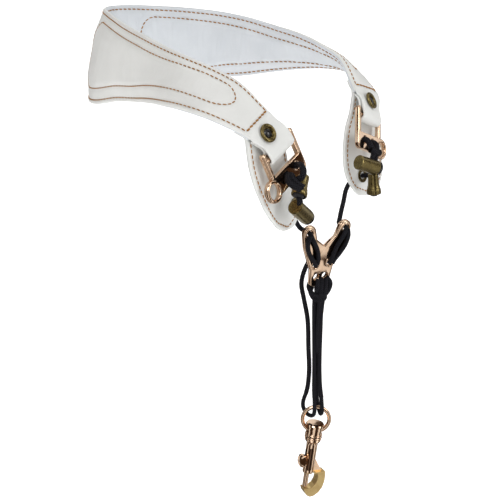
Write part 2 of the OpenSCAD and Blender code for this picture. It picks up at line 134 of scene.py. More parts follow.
def noise(nt, co, scale, detail=3, rough=0.55):
    n = node(nt, "ShaderNodeTexNoise")
    n.inputs["Scale"].default_value = scale
    n.inputs["Detail"].default_value = detail
    n.inputs["Roughness"].default_value = rough
    nt.links.new(co, n.inputs["Vector"])
    return n


def ramp(nt, fac, stops):
    r = node(nt, "ShaderNodeValToRGB")
    els = r.color_ramp.elements
    while len(els) < len(stops):
        els.new(0.5)
    for e, (p, c) in zip(els, stops):
        e.position = p
        e.color = (*c, 1) if len(c) == 3 else c
    nt.links.new(fac, r.inputs["Fac"])
    return r


def math_node(nt, op, a, b=None, c=None):
    n = node(nt, "ShaderNodeMath", operation=op)
    for i, v in enumerate((a, b, c)):
        if v is None:
            continue
        if isinstance(v, (int, float)):
            n.inputs[i].default_value = v
        else:
            nt.links.new(v, n.inputs[i])
    return n.outputs[0]


def bump(nt, height, strength, distance, normal=None):
    b = node(nt, "ShaderNodeBump")
    b.inputs["Strength"].default_value = strength
    b.inputs["Distance"].default_value = distance
    nt.links.new(height, b.inputs["Height"])
    if normal is not None:
        nt.links.new(normal, b.inputs["Normal"])
    return b.outputs["Normal"]


def leather(name, light, dark, rough, grain, pebble):
    m, nt, p = tree(name)
    co = node(nt, "ShaderNodeTexCoord").outputs["Object"]
    big = noise(nt, co, 55, 4)
    col = ramp(nt, big.outputs["Fac"], [(0.3, dark), (0.7, light)])
    nt.links.new(col.outputs["Color"], p.inputs["Base Color"])
    fine = noise(nt, co, 1400, 3, 0.6)
    vor = node(nt, "ShaderNodeTexVoronoi")
    vor.inputs["Scale"].default_value = pebble
    nt.links.new(co, vor.inputs["Vector"])
    h = math_node(nt, "MULTIPLY_ADD", fine.outputs["Fac"], 0.35, vor.outputs["Distance"])
    crease = noise(nt, co, 160, 5, 0.6)
    n1 = bump(nt, crease.outputs["Fac"], 0.12, 0.0006)
    n2 = bump(nt, h, grain, 0.00012, n1)
    nt.links.new(n2, p.inputs["Normal"])
    r = ramp(nt, fine.outputs["Fac"], [(0.3, (rough - 0.06,) * 3), (0.7, (rough + 0.08,) * 3)])
    nt.links.new(r.outputs["Color"], p.inputs["Roughness"])
    p.inputs["Sheen Weight"].default_value = 0.08
    p.inputs["Subsurface Weight"].default_value = 0.0
    return m


def metal(name, base, dark, rough, wear=0.25, bevel=0.0, scratch=0.06, pit=0.0):
    m, nt, p = tree(name)
    p.inputs["Metallic"].default_value = 1.0
    co = node(nt, "ShaderNodeTexCoord").outputs["Object"]
    n = noise(nt, co, 260, 5, 0.6)
    c = ramp(nt, n.outputs["Fac"], [(0.5 - wear, dark), (0.5 + wear * 0.4, base)])
    nt.links.new(c.outputs["Color"], p.inputs["Base Color"])
    f = noise(nt, co, 1300, 3, 0.5)
    r = ramp(nt, f.outputs["Fac"], [(0.3, (rough * 0.7,) * 3), (0.75, (rough * 1.5 + 0.02,) * 3)])
    nt.links.new(r.outputs["Color"], p.inputs["Roughness"])
    soft = noise(nt, co, 340, 2, 0.5)
    nn = bump(nt, soft.outputs["Fac"], scratch, 0.0004)
    if pit:
        nn = bump(nt, f.outputs["Fac"], pit, 0.0002, nn)
    nt.links.new(nn, p.inputs["Normal"])
    return m


def plain(name, colour, rough, speck=0.0, coat=0.0):
    m, nt, p = tree(name)
    co = node(nt, "ShaderNodeTexCoord").outputs["Object"]
    n = noise(nt, co, 700, 3)
    d = tuple(x * 0.75 for x in colour)
    c = ramp(nt, n.outputs["Fac"], [(0.3, d), (0.7, colour)])
    nt.links.new(c.outputs["Color"], p.inputs["Base Color"])
    p.inputs["Roughness"].default_value = rough
    nt.links.new(bump(nt, n.outputs["Fac"], 0.02 if rough < 0.2 else 0.08, 0.0001), p.inputs["Normal"])
    p.inputs["Coat Weight"].default_value = coat
    return m


def braid():
    """Round braid: strands that pass over and under each other, laid out on the tube's own map."""
    m, nt, p = tree("braided_cord_mat")
    uv = node(nt, "ShaderNodeUVMap", uv_map="lay")
    sep = node(nt, "ShaderNodeSeparateXYZ")
    nt.links.new(uv.outputs["UV"], sep.inputs[0])
    around = math_node(nt, "MULTIPLY", sep.outputs["X"], 8.0)
    along = math_node(nt, "MULTIPLY", sep.outputs["Y"], 0.95)
    x = math_node(nt, "ADD", around, along)
    y = math_node(nt, "SUBTRACT", around, along)
    hs = []
    for v in (x, y):
        fr = math_node(nt, "FRACT", v)
        hs.append(math_node(nt, "SINE", math_node(nt, "MULTIPLY", fr, math.pi)))
    fl = math_node(nt, "ADD", math_node(nt, "FLOOR", x), math_node(nt, "FLOOR", y))
    par = math_node(nt, "FLOORED_MODULO", fl, 2.0)
    mix = node(nt, "ShaderNodeMix", data_type="FLOAT")
    nt.links.new(par, mix.inputs[0])
    nt.links.new(hs[0], mix.inputs[2])
    nt.links.new(hs[1], mix.inputs[3])
    h = mix.outputs[0]
    co = node(nt, "ShaderNodeTexCoord").outputs["Object"]
    fz = noise(nt, co, 2600, 3, 0.7)
    relief_and_shade = math_node(nt, "MULTIPLY_ADD", fz.outputs["Fac"], 0.35, h)
    # colour follows the strand height: the darker valleys between strands are painted shade, and the pale bluish crowns
    # are a painted highlight
    c = ramp(nt, relief_and_shade, [(0.25, (0.0015, 0.0014, 0.0018)), (0.75, (0.0034, 0.0030, 0.0033)), (1.0, (0.022, 0.022, 0.028))])
    nt.links.new(c.outputs["Color"], p.inputs["Base Color"])
    p.inputs["Roughness"].default_value = 0.6
    p.inputs["Specular IOR Level"].default_value = 0.06
    nt.links.new(bump(nt, relief_and_shade, 0.55, 0.00022), p.inputs["Normal"])
    return m


M_OUT = leather("outer_leather_mat", (0.775, 0.785, 0.765), (0.72, 0.73, 0.71), 0.42, 0.22, 1500)
M_LIN = leather("lining_leather_mat", (0.655, 0.685, 0.715), (0.605, 0.638, 0.67), 0.5, 0.12, 2200)
M_EDGE = leather("tongue_back_mat", (0.68, 0.69, 0.68), (0.62, 0.63, 0.62), 0.6, 0.3, 1300)
M_THREAD = plain("thread_mat", (0.36, 0.148, 0.010), 0.75)
M_ROSE = metal("rose_gold_mat", (0.82, 0.60, 0.43), (0.70, 0.47, 0.31), 0.09, scratch=0.02)
M_BOWL = metal("worn_gold_mat", (0.84, 0.63, 0.29), (0.72, 0.51, 0.22), 0.38, scratch=0.03, pit=0.04)
M_BRASS = metal("antique_brass_mat", (0.20, 0.155, 0.062), (0.17, 0.13, 0.052), 0.27, wear=0.08, scratch=0.005, pit=0.004)
# dark brown metal for the strip down the hook's barrel: its darkness is painted shade and dark reflection, not the
# metal's own colour
M_PAINTED_STRIPE = metal("painted_barrel_stripe_mat", (0.16, 0.09, 0.055), (0.09, 0.05, 0.03), 0.12, scratch=0.02)
M_BLACK = plain("black_gloss_mat", (0.006, 0.006, 0.006), 0.14)
M_STEEL = metal("spring_steel_mat", (0.75, 0.75, 0.77), (0.6, 0.6, 0.62), 0.2)
M_FOAM = plain("foam_mat", (0.85, 0.80, 0.55), 0.9)
M_CORD = braid()

CAD_MAT = {"rose_gold": M_ROSE, "antique_brass": M_BRASS, "black_gloss": M_BLACK, "braided_cord": M_CORD,
           "spring_steel": M_STEEL, "foam": M_FOAM, "outer_leather": M_OUT, "lining_leather": M_LIN}
for part in frame["record"]["subparts"]:
    o = NODES[part["node"]]
    m = CAD_MAT[part["material_slot"]]
    if part["node"] == "cord_knot_right" or part["node"] == "cord_knot_left":
        m = plain(part["node"] + "_mat", (0.02, 0.02, 0.024), 0.6)
    o.data.materials.clear()
    o.data.materials.append(m)


# ------------------------------------------------------------------ mesh helpers
def make(name, verts_mm, faces, mats, smooth_faces=True, sharp=None, face_mat=None, uvs=None):
    me = bpy.data.meshes.new(name)
    me.from_pydata([tuple(float(c) * MM for c in v) for v in verts_mm], [], faces)
    me.update()
    if smooth_faces:
        me.polygons.foreach_set("use_smooth", [True] * len(me.polygons))
    for m in mats:
        me.materials.append(m)
    if face_mat is not None:
        me.polygons.foreach_set("material_index", face_mat)
    if uvs is not None:
        layer = me.uv_layers.new(name="lay")
        flat = [c for f in uvs for q in f for c in q]
        layer.data.foreach_set("uv", flat)
    if sharp is not None:
        me.set_sharp_from_angle(angle=math.radians(sharp))
    me.update()
    o = bpy.data.objects.new(name, me)
    scene.collection.objects.link(o)
    return o


def closed_sheet(name, F, B, mats, sharp=50, back_mat=0):
    """A closed sheet from grids of front and back points."""
    n, m = F.shape[:2]
    V = np.concatenate([F.reshape(-1, 3), B.reshape(-1, 3)])
    o = n * m
    faces, fm = [], []
    for i in range(n - 1):
        for j in range(m - 1):
            a = i * m + j
            faces.append((a, a + 1, a + m + 1, a + m)); fm.append(0)
            faces.append((o + a, o + a + m, o + a + m + 1, o + a + 1)); fm.append(back_mat)
    for i in range(n - 1):
        a, b = i * m, i * m + m - 1
        faces.append((a, a + m, o + a + m, o + a)); fm.append(0)
        faces.append((b, o + b, o + b + m, b + m)); fm.append(0)
    for j in range(m - 1):
        a = (n - 1) * m + j
        faces.append((j, o + j, o + j + 1, j + 1)); fm.append(0)
        faces.append((a, a + 1, o + a + 1, o + a)); fm.append(0)
    ob = make(name, V, faces, mats, sharp=None, face_mat=fm)
    fix_normals(ob)
    if sharp:
        ob.data.set_sharp_from_angle(angle=math.radians(sharp))
    return ob


def fix_normals(ob):
    bm = bmesh.new()
    bm.from_mesh(ob.data)
    bmesh.ops.recalc_face_normals(bm, faces=bm.faces)
    bm.to_mesh(ob.data)
    bm.free()
    ob.data.update()


def frames_along(P):
    T = np.gradient(P, axis=0)
    T /= np.linalg.norm(T, axis=1)[:, None]
    a = np.cross(T[0], vec(0, 0, 1)) if abs(T[0][2]) < 0.9 else np.cross(T[0], vec(1, 0, 0))
    A = [unit(a)]
    for i in range(1, len(P)):
        w = A[-1] - T[i] * np.dot(A[-1], T[i])
        A.append(unit(w))
    A = np.array(A)
    return T, A, np.cross(T, A)


def tube_data(P, d, n=20, round_ends=False):
    P, _ = resample(P, 0.45)
    T, A, B = frames_along(P)
    L = np.concatenate([[0], np.cumsum(np.linalg.norm(np.diff(P, axis=0), axis=1))])
    V, Fc, U = [], [], []
    for i in range(len(P)):
        for k in range(n):
            th = 2 * math.pi * k / n
            # strands stand out a little, so that the outline isn't a plain tube
            r = d / 2 * (1 + 0.02 * math.cos(8 * th + L[i] * 6.0) * math.cos(L[i] * 2.9))
            V.append(P[i] + (A[i] * math.cos(th) + B[i] * math.sin(th)) * r)
    for i in range(len(P) - 1):
        for k in range(n):
            q = (k + 1) % n
            Fc.append((i * n + k, (i + 1) * n + k, (i + 1) * n + q, i * n + q))
            u0, u1 = k / n, (k + 1) / n
            U.append([(u0, L[i]), (u0, L[i + 1]), (u1, L[i + 1]), (u1, L[i])])
    for end, ring in ((0, 0), (1, len(P) - 1)):
        c = len(V)
        V.append(P[ring])
        for k in range(n):
            q = (k + 1) % n
            f = (ring * n + k, ring * n + q, c) if end == 0 else (ring * n + q, ring * n + k, c)
            Fc.append(f)
            U.append([(0, 0)] * 3)
    return V, Fc, U


def tubes(name, routes, d):
    V, Fc, U = [], [], []
    for P in routes:
        v, f, u = tube_data(P, d)
        o = len(V)
        V += v
        Fc += [tuple(x + o for x in g) for g in f]
        U += u
    return make(name, V, Fc, [M_CORD], uvs=U)


def stitches(name, lines, pitch=2.2, length=1.75, r=0.24, mat=None, lift=0.06):
    """Thread stitches as short rounded bars, half sunk in the leather. A line is (points, normals)."""
    V, Fc = [], []
    prof = [(-0.5, 0.25), (-0.42, 0.75), (-0.2, 1.0), (0.2, 1.0), (0.42, 0.75), (0.5, 0.25)]
    n = 6
    for P, N in lines:
        Q, L = resample(np.concatenate([P, N], 1), pitch)
        C, W = Q[:, :3], Q[:, 3:]
        for i in range(len(C) - 1):
            a, b = C[i], C[i + 1]
            t = unit(b - a)
            w = unit((W[i] + W[i + 1]) / 2)
            s = unit(np.cross(t, w))
            w = np.cross(s, t)
            t = unit(t + s * 0.10)               # each stitch leans a little
            c = (a + b) / 2 + w * lift
            o = len(V)
            for (z, q) in prof:
                for k in range(n):
                    th = 2 * math.pi * k / n
                    V.append(c + t * z * length + (s * math.cos(th) * 1.15 + w * math.sin(th)) * r * q)
            for i2 in range(len(prof) - 1):
                for k in range(n):
                    q2 = (k + 1) % n
                    Fc.append((o + i2 * n + k, o + i2 * n + q2, o + (i2 + 1) * n + q2, o + (i2 + 1) * n + k))
            Fc.append(tuple(o + k for k in range(n))[::-1])
            Fc.append(tuple(o + (len(prof) - 1) * n + k for k in range(n)))
    ob = make(name, V, Fc, [mat or M_THREAD])
    return ob


def finish_piece(ob, body, nodes=()):
    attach(ob, body)
    if nodes:
        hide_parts(*nodes)
    return ob


# ------------------------------------------------------------------ collar
TOP = np.array([[0,0,26.5],[4,10,26.3],[14,19,25.7],[28,29.5,24.6],[44,39.5,22.7],[60,45.7,19.9],
                [76,49.2,16],[92,51,12],[107,49.5,7],[120,47.5,1],[131,42,-11.5],[135.2,39.4,-17]], float)
BOT = np.array([[-8,0,-22],[0,20,-22],[12,34,-21.5],[25,42.5,-19.5],[40,45.5,-16],[56,49.5,-14],
                [72,59,-11.3],[88,68.5,-9.3],[104,73.5,-9],[119,72,-12],[133,65,-19],[136.6,61.6,-24.4]], float)
NS = len(TOP) - 1
S_END = 10.35
SKIN, LINING_T, FOAM_H = 1.4, 1.2, 2.4


def edge(P, j):
    return P[min(-j, NS)] * vec(1, -1, 1) if j < 0 else P[min(j, NS)]


def rail(P, s):
    i = math.floor(s)
    t = s - i
    return cr(edge(P, i - 1), edge(P, i), edge(P, i + 1), edge(P, i + 2), t)


def mid(s, v):
    return rail(TOP, s) * (1 - v) + rail(BOT, s) * v


def nrm(s, v):
    return unit(np.cross(mid(s + 0.05, v) - mid(s - 0.05, v), mid(s, v + 0.02) - mid(s, v - 0.02)))


def puff(s, v):
    return float(FOAM_H * smooth(0.02, 0.3, v) * smooth(0.02, 0.3, 1 - v) * (0.3 + 0.7 * smooth(0, 3.2, 9.6 - abs(s))))


def width(s):
    return float(np.linalg.norm(rail(TOP, s) - rail(BOT, s)))


def line_pts(sv):
    return np.array(sv, float)


def edge_line(side, inset, s_from, s_to, n=120):
    out = []
    for s in np.linspace(s_from, s_to, n):
        w = width(s)
        v = inset / w if side == "top" else 1 - inset / w
        out.append((s, v))
    return out


def pad_loop(sg, s0=1.25, s1=9.2, dt=6.0, db=8.0):
    """A closed line round the padding of one half, with rounded ends."""
    r0, r1 = 0.75, 0.55
    up, dn = [], []
    for a in np.linspace(0, 1, 160):
        s = s0 + (s1 - s0) * (0.5 - 0.5 * math.cos(math.pi * a))
        k = 1.0
        if s - s0 < r0:
            k = math.sqrt(max(0.0, 1 - (1 - (s - s0) / r0) ** 2))
        if s1 - s < r1:
            k = math.sqrt(max(0.0, 1 - (1 - (s1 - s) / r1) ** 2))
        w = width(s)
        vt, vb = dt / w, 1 - db / w
        m = (vt + vb) / 2
        h = (vb - vt) / 2 * k
        up.append((sg * s, m - h))
        dn.append((sg * s, m + h))
    return up + dn[::-1] + [up[0]]


S_ROW = 9.97        # the row of long stitches that closes the padded end
outline_top = edge_line("top", 2.0, -S_ROW, S_ROW, 260)
outline_bot = edge_line("bot", 2.0, -S_ROW, S_ROW, 260)
rows = []
for sg in (-1, 1):
    w = width(S_ROW)
    rows.append([(sg * (S_ROW + 0.04 * t), 2.0 / w + (1 - 4.0 / w) * t) for t in np.linspace(0, 1, 20)])
loops = [pad_loop(-1), pad_loop(1)]


def surf(s, v, face, extra=0.0):
    """A point on the collar's outer (face 1) or lining (face -1) surface."""
    t = SKIN if face > 0 else LINING_T
    return mid(s, v) + nrm(s, v) * (face * (puff(s, v) + 0.02 + t + extra))


def line3(sv, face):
    P = np.array([surf(s, v, face) for s, v in sv])
    N = np.array([nrm(s, v) * face for s, v in sv])
    return P, N


L_OUT = [line3(outline_top, 1), line3(outline_bot, 1)] + [line3(l, 1) for l in loops]
L_ROW = [line3(r, 1) for r in rows]
L_IN = [line3(outline_top, -1), line3(outline_bot, -1)] + [line3(l, -1) for l in loops] + [line3(r, -1) for r in rows]


def near_dist(G, lines):
    """Distance in mm from every grid point to the nearest stitched line."""
    Q = np.concatenate([resample(P, 1.0)[0] for P, _ in lines])
    flat = G.reshape(-1, 3)
    out = np.empty(len(flat))
    for i in range(0, len(flat), 4000):
        d = flat[i:i + 4000, None, :] - Q[None]
        out[i:i + 4000] = np.sqrt((d ** 2).sum(2).min(1))
    return out.reshape(G.shape[:2])


def wave(s, v, k):
    return (math.sin(s * 7.1 + v * 3.0 + k) * 0.5 + math.sin(s * 13.3 - v * 5.2 + 2 * k) * 0.3
            + math.sin(s * 23.7 + v * 9.0 + 3 * k) * 0.2)


EDGE_D = [0, 0.08, 0.25, 0.5, 0.85, 1.3]


def v_rows(w):
    e = [d / w for d in EDGE_D]
    inner = list(np.linspace(2.0 / w, 1 - 2.0 / w, 38))
    return e + inner + [1 - x for x in e[::-1]]


def collar_face(face, n_s, lines, end_round):
    t = SKIN if face > 0 else LINING_T
    S = np.linspace(-S_END, S_END, n_s)
    if end_round:
        extra = [S_END - x / 13.0 for x in (0.1, 0.3, 0.6, 1.0)]
        S = np.array(sorted(list(S) + extra + [-x for x in extra]))
    F = np.zeros((len(S), 50, 3)); B = np.zeros_like(F)
    base = np.zeros_like(F); NN = np.zeros_like(F); H = np.zeros(F.shape[:2])
    for i, s in enumerate(S):
        w = width(s)
        for j, v in enumerate(v_rows(w)):
            p, nv, pf = mid(s, v), nrm(s, v), puff(s, v)
            d = min(v, 1 - v) * w
            if end_round:
                d = min(d, (S_END - abs(s)) * 13.0)
            prof = 1.0 if d >= 1.3 else math.sqrt(max(0.0, 1 - (1 - d / 1.3) ** 2))
            base[i, j], NN[i, j] = p, nv
            H[i, j] = 0.02 + pf + t * (0.12 + 0.88 * prof)
            B[i, j] = p + nv * face * (0.02 + pf * 0.97)
    G = base + NN * (face * H[..., None])
    D = near_dist(G, lines)
    dip = 0.42 * np.exp(-(D / 1.0) ** 2) - 0.16 * np.exp(-((D - 2.2) / 1.1) ** 2)
    for i, s in enumerate(S):
        w = width(s)
        for j, v in enumerate(v_rows(w)):
            soft = float(smooth(1.5, 7, min(v, 1 - v) * w)) * float(smooth(0, 1.2, S_END - abs(s)))
            H[i, j] += soft * wave(s, v, 0.4 if face > 0 else 1.9) * (0.16 if face > 0 else 0.34)
    H -= np.minimum(dip, H - 0.3)
    F = base + NN * (face * H[..., None])
    return F, B


F, B = collar_face(1, 330, L_OUT + L_ROW, False)
outer = closed_sheet("collar_outer_leather", F, B, [M_OUT])
finish_piece(outer, "strap", ["outer_leather"])
F, B = collar_face(-1, 330, L_IN, True)
lining = closed_sheet("collar_lining_leather", F, B, [M_LIN])
finish_piece(lining, "strap", ["lining_leather"])

DIP = 0.36
for nm, L, p, ln, r in (("stitching_outer", L_OUT, 2.6, 1.9, 0.28), ("stitching_rows", L_ROW, 3.0, 2.4, 0.38), ("stitching_lining", L_IN, 2.6, 1.9, 0.28)):
    st = stitches(nm, L, p, ln, r, lift=-DIP + r * 0.75)
    finish_piece(st, "strap")

# ------------------------------------------------------------------ buckle frames
BAR = vec(139, -46, -26)
c21, s21 = math.cos(math.radians(21)), math.sin(math.radians(21))
c12, s12 = math.cos(math.radians(12.5)), math.sin(math.radians(12.5))
BX = vec(0, c21, s21)
BY = vec(-c12, s21 * s12, -c21 * s12)
BZ = vec(-s12, -s21 * c12, c21 * c12)
MIR = vec(1, -1, 1)


def bk(P, sg):
    """Buckle-frame points to the row frame; sg 1 is the right buckle, -1 the left."""
    P = np.asarray(P, float)
    Q = BAR + P[..., 0:1] * BX + P[..., 1:2] * BY + P[..., 2:3] * BZ
    return Q if sg > 0 else Q * MIR


# ------------------------------------------------------------------ tabs
BAR_R, BAR_Z = 1.5, -2.9
LOOP_R = BAR_R + 0.35 + SKIN / 2
LOOP = [[1.1, 10.85], [0.2, 8.4], [-0.75, 5.4], [-1.6, 2.4], [-2.25, -0.6]] \
    + [[LOOP_R * math.cos(math.radians(a)), BAR_Z + LOOP_R * math.sin(math.radians(a))] for a in range(170, 411, 20)] \
    + [[0.5, 0.3], [0.15, 1.9], [0.45, 3.6], [0.93, 5.4], [1.47, 7.2], [2.1, 8.9]]


def lw(z):
    return 10.2 + 1.6 * float(smooth(3, 11.2, z))


def lc(z):
    return -2.6 * float(smooth(1.5, 11.2, z))


def lp(p, u):
    k = float(smooth(4.5, 11.2, p[1]))
    return [lc(p[1]) + u * lw(p[1]), p[0] + k * (0.67 * u * u + 1.17 * u), p[1] - k * 0.47 * u]


def tab(name, sg):
    C = through(LOOP, 5)
    T = np.gradient(C, axis=0)
    T /= np.linalg.norm(T, axis=1)[:, None]
    N = np.stack([-T[:, 1], T[:, 0]], 1)
    us = [-1, -0.992, -0.975, -0.945, -0.89] + list(np.linspace(-0.8, 0.8, 17)) + [0.89, 0.945, 0.975, 0.992, 1]
    F = np.zeros((len(C), len(us), 3)); B = np.zeros_like(F)
    for i in range(len(C)):
        for j, u in enumerate(us):
            d = (1 - abs(u)) * 10.5
            prof = 0.25 + 0.75 * (1.0 if d >= 0.7 else math.sqrt(max(0.0, 1 - (1 - d / 0.7) ** 2)))
            h = SKIN / 2 * prof
            bulge = 0.10 * math.sin(C[i][1] * 0.9 + u * 1.5) * (1 - u * u)
            F[i, j] = lp(C[i] - N[i] * (h + bulge), u)
            B[i, j] = lp(C[i] + N[i] * h, u)
    # the strap starts at the row of long stitches and lies on the collar's end
    FW, BW = bk(F[2:], sg), bk(B[2:], sg)
    pf, pb = [], []
    for k, s in enumerate((10.02, 10.1, 10.18, 10.26, 10.32)):
        low = 0.35 if k == 0 else 0.0
        rf, rb = [], []
        for u in us:
            v = (1 - u) / 2
            d = (1 - abs(u)) * 10.5
            prof = 1.0 if d >= 0.7 else math.sqrt(max(0.0, 1 - (1 - d / 0.7) ** 2))
            rf.append(surf(-sg * s, v, 1, 0.06 - low - 0.6 * (1 - prof)))
            rb.append(surf(-sg * s, v, 1, -0.9))
        pf.append(rf); pb.append(rb)
    FW = np.concatenate([np.array(pf), FW])
    BW = np.concatenate([np.array(pb), BW])
    ob = closed_sheet(name, FW, BW, [M_OUT])
    return ob


for side, sg in (("right", 1), ("left", -1)):
    finish_piece(tab("tab_leather_" + side, sg), "strap", ["tab_loop_" + side])

# ------------------------------------------------------------------ tongues
TT = {"right": [[131.9,-41,-16],[134,-35,-25],[134.4,-31,-32],[134.8,-28.5,-41],[135.6,-26,-50],[136.6,-23.5,-58],[137.6,-21.5,-66],[138,-20.5,-72.5]],
      "left": [[131.9,41,-16],[133.7,35,-25],[133.6,31.5,-32],[133.8,29.3,-41],[134.2,28.8,-50.1],[135.4,29.2,-58],[137,30,-65],[138,30.5,-71.5]]}
TB = {"right": [[133.4,-63.2,-23.2],[134.9,-63.7,-31.2],[135.9,-63.2,-37.2],[137.1,-61.4,-44.2],[138.3,-58.3,-51.6],[139,-54.5,-58.6],[139,-50,-65.5],[138.6,-47,-71.5]],
      "left": [[133.4,63.2,-23.2],[134.8,64.1,-31.2],[135.8,64.4,-37.2],[137,64.1,-44.3],[138.3,63.8,-51.7],[139.6,63.4,-58.7],[140.8,63,-66.1],[141.5,62.5,-72]]}
TONGUE_T = 2.0
GR = {"right": (vec(137.2, -28.0, -61.0), 82.9, 3.9), "left": (vec(137.4, 42.2, -60.4), 78.9, -6.7)}


def lin(P, s):
    n = len(P) - 1
    i = min(int(math.floor(s)), n - 1)
    P = np.array(P, float)
    return cr(P[max(i - 1, 0)], P[i], P[min(i + 1, n)], P[min(i + 2, n)], s - i)


def wid(t):
    return 1.0 if t < 0.62 else max(0.0, 1 - ((t - 0.62) / 0.38) ** 2.2) ** (1 / 2.2)


def tongue(side):
    A, Bp = TT[side], TB[side]

    def tp(t, u):
        a, b = lin(A, 7 * t), lin(Bp, 7 * t)
        return (a + b) / 2 + (b - a) * (u - 0.5) * wid(t)

    def tn(t):
        t0, t1 = max(t - 0.02, 0), min(t + 0.02, 1)
        n = unit(np.cross(lin(Bp, 7 * t) - lin(A, 7 * t), (lin(A, 7 * t1) + lin(Bp, 7 * t1)) - (lin(A, 7 * t0) + lin(Bp, 7 * t0))))
        return n if n[0] > 0 else -n
    ts = list(np.linspace(0, 0.62, 26)) + [0.62 + 0.378 * math.sin(math.pi / 2 * a) for a in np.linspace(0.04, 1, 34)]
    us = [0, 0.006, 0.02, 0.045, 0.08, 0.13] + list(np.linspace(0.18, 0.82, 18)) + [0.87, 0.92, 0.955, 0.98, 0.994, 1]
    P = np.array([[tp(t, u) for u in us] for t in ts])
    N = np.array([[tn(t)] * len(us) for t in ts])
    sgn_ = -1 if side == "right" else 1
    pre, pn = [], []
    for s in (9.7, 9.9, 10.1):
        row = [mid(sgn_ * s, 0.02 + 0.96 * u) - nrm(sgn_ * s, min(max(u, 0.02), 0.98)) * (1.5 if s < 10 else 1.2) for u in us]
        pre.append(row)
        pn.append([nrm(sgn_ * s, 0.5)] * len(us))
    P = np.concatenate([np.array(pre), P])
    N = np.concatenate([np.array(pn), N])
    ts = [0.0, 0.0, 0.0] + ts
    # outline, and the distance of each point from it
    rim = [P[0][0], P[1][0], P[2][0]] + [tp(t, 0) for t in np.linspace(0, 0.998, 160)] + [tp(t, 1) for t in np.linspace(0.998, 0, 160)] + [P[2][-1], P[1][-1], P[0][-1]]
    R, _ = resample(rim, 0.35)
    flat = P.reshape(-1, 3)
    D = np.sqrt(((flat[:, None] - R[None]) ** 2).sum(2).min(1)).reshape(P.shape[:2])
    prof = np.where(D >= 0.8, 1.0, np.sqrt(np.clip(1 - (1 - D / 0.8) ** 2, 0, 1)))
    # the stitched line, 2.6 mm inside the edge, comes to a soft point at the end
    def inner(t, sgn):
        w = np.linalg.norm(lin(A, 7 * t) - lin(Bp, 7 * t))
        k = 2.6 / max(w * wid(t), 1)
        return tp(t, k if sgn < 0 else 1 - k)
    tip_t = 0.955
    tip = tp(tip_t, 0.52)
    down = [inner(t, -1) for t in np.linspace(0.03, 0.86, 60)]
    up = [inner(t, 1) for t in np.linspace(0.86, 0.03, 60)]
    sl = down + [tip] + up
    S3, _ = resample(sl, 0.8)
    tt = np.array([tn(min(0.99, max(0.02, (p[2] - lin(A, 0)[2]) / (lin(A, 7)[2] - lin(A, 0)[2])))) for p in S3])
    LD = np.sqrt(((flat[:, None] - S3[None]) ** 2).sum(2).min(1)).reshape(P.shape[:2])
    g = 0.30 * np.exp(-(LD / 0.8) ** 2)
    wob = np.array([[0.12 * math.sin(9 * t + 4 * u) * (1 if 0.1 < u < 0.9 else 0) for u in us] for t in ts])
    h = TONGUE_T / 2
    Ff = P + N * ((0.02 + (h - 0.02) * (0.1 + 0.9 * prof) - g + wob * (D > 2))[..., None])
    Fb = P + N * 0.015
    front = closed_sheet("tongue_front_" + side, Ff, Fb, [M_OUT])
    Bf = P - N * 0.015
    Bb = P - N * ((0.02 + (h - 0.02) * (0.1 + 0.9 * prof))[..., None])
    back = closed_sheet("tongue_back_" + side, Bf, Bb, [M_EDGE])
    st = stitches("tongue_stitching_" + side, [(S3 + tt * (h - 0.28), tt)], 2.6, 1.9, 0.27, lift=0.17)
    return front, back, st


for side in ("right", "left"):
    f, b, st = tongue(side)
    finish_piece(f, "strap", ["tongue_" + side])
    finish_piece(b, "strap")
    finish_piece(st, "strap")


# ------------------------------------------------------------------ flat cast plates with rounded edges
def plane_loops(obj, origin, X, Y, Z, level, tol=0.02):
    """The closed outlines of the flat face at local y = level, as (x, z) points in mm."""
    me = obj.data
    co = np.array([v.co for v in me.vertices]) / MM - origin
    L = np.stack([co @ X, co @ Y, co @ Z], 1)
    key = {}
    ids = []
    for p in L:
        k = tuple(np.round(p * 200).astype(int))
        ids.append(key.setdefault(k, len(key)))
    pos = {}
    for i, k in zip(ids, L):
        pos[i] = (k[0], k[2])
    count = {}
    for poly in me.polygons:
        vs = list(poly.vertices)
        if all(abs(L[v][1] - level) < tol for v in vs):
            q = [ids[v] for v in vs]
            for a, b in zip(q, q[1:] + q[:1]):
                if a == b:
                    continue
                e = (min(a, b), max(a, b))
                count[e] = count.get(e, 0) + 1
    adj = {}
    for (a, b), c in count.items():
        if c == 1:
            adj.setdefault(a, []).append(b)
            adj.setdefault(b, []).append(a)
    loops_found, used = [], set()
    for start in adj:
        if start in used:
            continue
        path, cur, prev = [start], start, None
        used.add(start)
        while True:
            nxt = [n for n in adj[cur] if n != prev and (n not in used or n == start)]
            if not nxt:
                break
            n = nxt[0] if nxt[0] != start or len(nxt) == 1 else nxt[1]
            if n == start:
                break
            path.append(n); used.add(n)
            prev, cur = cur, n
        if len(path) > 5:
            pts = [pos[i] for i in path]
            clean = []
            for i, p in enumerate(pts):
                a, b = np.array(pts[i - 1]), np.array(pts[(i + 1) % len(pts)])
                q = np.array(p)
                cross = abs((q - a)[0] * (b - q)[1] - (q - a)[1] * (b - q)[0])
                if cross > 1e-4 * max(1e-6, np.linalg.norm(q - a) * np.linalg.norm(b - q)):
                    clean.append(p)
            loops_found.append(clean)
    return loops_found


def area(loop):
    x, y = np.array(loop).T
    return 0.5 * (np.dot(x, np.roll(y, -1)) - np.dot(y, np.roll(x, -1)))


